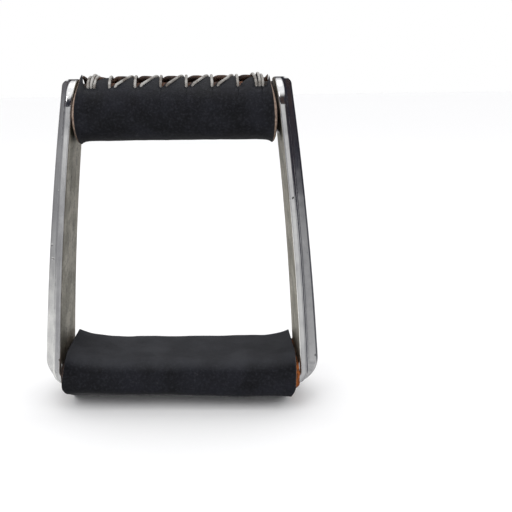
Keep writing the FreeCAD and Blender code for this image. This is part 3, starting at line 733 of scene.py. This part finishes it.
def aluminium():
    """Mirror polish outside, skin as cast on the inner faces, pits and old polish in the corners."""
    material, kit, shader, where = new_material("polished_cast_aluminium")
    place = where["Object"]
    x, y, _ = kit.split(place)
    across = kit.split(where["Normal"])[0]
    facing_in = kit.times(kit.times(across, kit.math("SIGN", x)), -1.0)
    inner = kit.span(facing_in, 0.6, 0.85)
    cloud = kit.noise(place, 70, 5)
    fine = kit.noise(place, 900, 6, 0.62)
    brushed = kit.noise(place, 300, 3, stretch=(6, 6, 0.25))
    pit_map = kit.cells(place, 210)
    rare = kit.span(kit.noise(place, 95, 2), 0.60, 0.66)
    pits = kit.times(kit.span(pit_map, 0.20, 0.10), rare)
    off_middle = kit.math("ABSOLUTE", y)
    root = kit.times(kit.span(off_middle, 0.0042, 0.0058), kit.span(off_middle, 0.0082, 0.0066))
    grime = kit.times(root, kit.span(kit.noise(place, 330, 5), 0.45, 0.62))
    shine = kit.mix(kit.span(cloud, 0.35, 0.7), (0.76, 0.76, 0.76, 1), (0.62, 0.62, 0.63, 1))
    cast = kit.mix(kit.span(cloud, 0.40, 0.62), (0.56, 0.53, 0.45, 1), (0.34, 0.32, 0.26, 1))
    cast = kit.mix(kit.span(fine, 0.50, 0.68, 0, 0.7), cast, (0.16, 0.15, 0.12, 1))
    base = kit.mix(inner, shine, cast)
    base = kit.mix(kit.times(grime, 0.7), base, (0.16, 0.15, 0.15, 1))
    base = kit.mix(pits, base, (0.05, 0.05, 0.05, 1))
    kit.link(base, shader["Base Color"])
    shader["Metallic"].default_value = 1.0
    streaks = kit.plus(kit.times(brushed, 0.5), kit.times(cloud, 0.5))
    polish = kit.span(streaks, 0.3, 0.7, 0.07, 0.2)
    rough = kit.add("ShaderNodeMix", data_type="FLOAT")
    kit.fill(rough.inputs[0], inner)
    kit.fill(rough.inputs[2], polish)
    kit.fill(rough.inputs[3], kit.span(fine, 0.3, 0.7, 0.42, 0.6))
    kit.link(rough.outputs[0], shader["Roughness"])
    skin = kit.times(kit.times(fine, inner), 0.8)
    swell = kit.times(kit.noise(place, 38, 2), 1.6)
    relief = kit.plus(kit.math("SUBTRACT", skin, kit.times(pits, 1.5)), swell)
    ground = kit.plus(relief, kit.times(kit.times(root, fine), 0.9))
    kit.link(kit.bump(ground, 0.5, 0.0005), shader["Normal"])
    return material


# ---------------------------------------------------------------- studio

def add_floor():
    """A pale ground that takes the shadow but doesn't show in the metal."""
    floor_mesh = bpy.data.meshes.new("floor")
    corners = [(x * FLOOR_HALF, y * FLOOR_HALF, 0) for x, y in ((-1, -1), (1, -1), (1, 1), (-1, 1))]
    floor_mesh.from_pydata(corners, [], [(0, 1, 2, 3)])
    floor = bpy.data.objects.new("floor", floor_mesh)
    floor.location.z = -FLOOR_DROP
    bpy.context.scene.collection.objects.link(floor)
    material, _, shader, _ = new_material("pale_floor")
    shader["Base Color"].default_value = (0.95, 0.95, 0.95, 1)
    shader["Roughness"].default_value = 0.9
    floor_mesh.materials.append(material)
    floor.visible_glossy = False


def light_world():
    """White for the camera, soft light for the leather, and a room that only the metal mirrors."""
    world = bpy.data.worlds.new("studio")
    bpy.context.scene.world = world
    world.use_nodes = True
    kit = Nodes(world.node_tree)
    background = world.node_tree.nodes["Background"]
    direction = kit.add("ShaderNodeTexCoord").outputs["Generated"]
    across, _, up = kit.split(direction)
    cloth = kit.noise(direction, 2.6, 3)
    overhead = kit.span(up, 0.50, 0.80)
    to_left = kit.span(across, -0.2, -0.8)
    to_right = kit.span(across, 0.25, 0.6)
    dark = kit.mix(to_left, (0.020, 0.021, 0.034, 1), (0.15, 0.15, 0.17, 1))
    dark = kit.mix(kit.span(cloth, 0.52, 0.62, 0, 0.8), dark, (0.060, 0.034, 0.024, 1))
    table = kit.mix(kit.span(cloth, 0.40, 0.62), (0.72, 0.72, 0.72, 1), (0.40, 0.40, 0.41, 1))
    left_wall = kit.mix(kit.span(up, -0.12, -0.28), (0.34, 0.34, 0.35, 1), (1.1, 1.1, 1.07, 1))
    table = kit.mix(to_left, table, left_wall)
    table = kit.mix(kit.span(across, 0.84, 0.92, 0, 0.9), table, (0.035, 0.035, 0.05, 1))
    bands = kit.noise(direction, 7, 3, stretch=(1, 1, 0.15))
    table = kit.mix(kit.span(bands, 0.50, 0.60, 0, 0.6), table, (0.10, 0.10, 0.115, 1))
    edge = kit.times(to_right, -0.13)
    rise = kit.math("SUBTRACT", up, edge)
    wall = kit.mix(kit.span(rise, 0.05, 0.11), table, dark)
    room = kit.mix(overhead, wall, (1.2, 1.2, 1.2, 1))
    ray = kit.add("ShaderNodeLightPath").outputs
    soft = kit.mix(ray["Is Glossy Ray"], (1.06, 1.06, 1.07, 1), room)
    kit.link(kit.mix(ray["Is Camera Ray"], soft, (1.0, 1.0, 1.0, 1)), background.inputs["Color"])


def add_lights():
    for name, place, size, power in LIGHTS:
        light = bpy.data.lights.new(name, "AREA")
        light.shape = "DISK"
        light.size = size
        light.energy = power
        lamp = bpy.data.objects.new(name, light)
        bpy.context.scene.collection.objects.link(lamp)
        lamp.location = place
        aim = Vector(AIM) - Vector(place)
        lamp.rotation_euler = aim.to_track_quat("-Z", "Y").to_euler()


def add_camera():
    data = bpy.data.cameras.new("camera")
    data.lens = LENS_MM
    data.sensor_width = SENSOR_MM
    data.shift_x = LENS_SHIFT
    eye = bpy.data.objects.new("camera", data)
    bpy.context.scene.collection.objects.link(eye)
    ahead = Vector(AHEAD).normalized()
    right = ahead.cross(Vector(UPWARD)).normalized()
    up = right.cross(ahead)
    eye.matrix_world = Matrix((
        (right.x, up.x, -ahead.x, EYE[0]),
        (right.y, up.y, -ahead.y, EYE[1]),
        (right.z, up.z, -ahead.z, EYE[2]),
        (0, 0, 0, 1),
    ))
    bpy.context.scene.camera = eye
    bpy.context.scene.view_settings.view_transform = "Standard"


# ---------------------------------------------------------------- put together

grain = black_leather()
flesh = cut_leather("flesh_side", colour(140, 116, 102), colour(104, 82, 68), 0.1)
cut_end = cut_leather("cut_end", colour(158, 138, 124), colour(112, 92, 78), 0.1)
cut_seam = cut_leather("cut_seam", colour(134, 104, 86), colour(84, 62, 50), 0.5)
# each lining is painted near black beyond the stretch given last, as painted shade in the gaps
# between the covers' ends and the plates
russet = cut_leather(
    "russet_leather", colour(178, 96, 30), colour(104, 54, 16), 0.2, unshaded_stretch=(-0.060, 0.080)
)
waxed_russet = cut_leather(
    "waxed_russet_leather", colour(128, 78, 46), colour(70, 42, 26), 0.4, unshaded_stretch=(-0.0455, 0.0455)
)
thread = waxed_thread()
metal = aluminium()

casting = nodes["frame_casting"]
casting.data.materials.clear()
casting.data.materials.append(metal)

leathers = [grain, flesh, cut_end, cut_seam]
make_lining(
    "top_bar_lining",
    "top_bar_underwrap",
    oval_section(COVER_OUTSET - LEATHER - FIT, TOP_SEAM_Y),
    lambda height: 51.6 - 1.6 * smooth(150, 172, height),
    [waxed_russet, waxed_russet, waxed_russet, cut_seam],
    21,
)
make_lining(
    "tread_lining",
    "tread_underwrap",
    tread_section(LEATHER + FIT, TREAD_SEAM_Y),
    lambda height: 64.3 - 0.5 * smooth(18, 25, height) - 4.5 * smooth(14, 7, height),
    [russet, russet, russet, russet],
    31,
)
lace("top", make_top_cover(leathers), thread)
lace("tread", make_tread_cover(leathers), thread)

add_floor()
light_world()
add_lights()
add_camera()
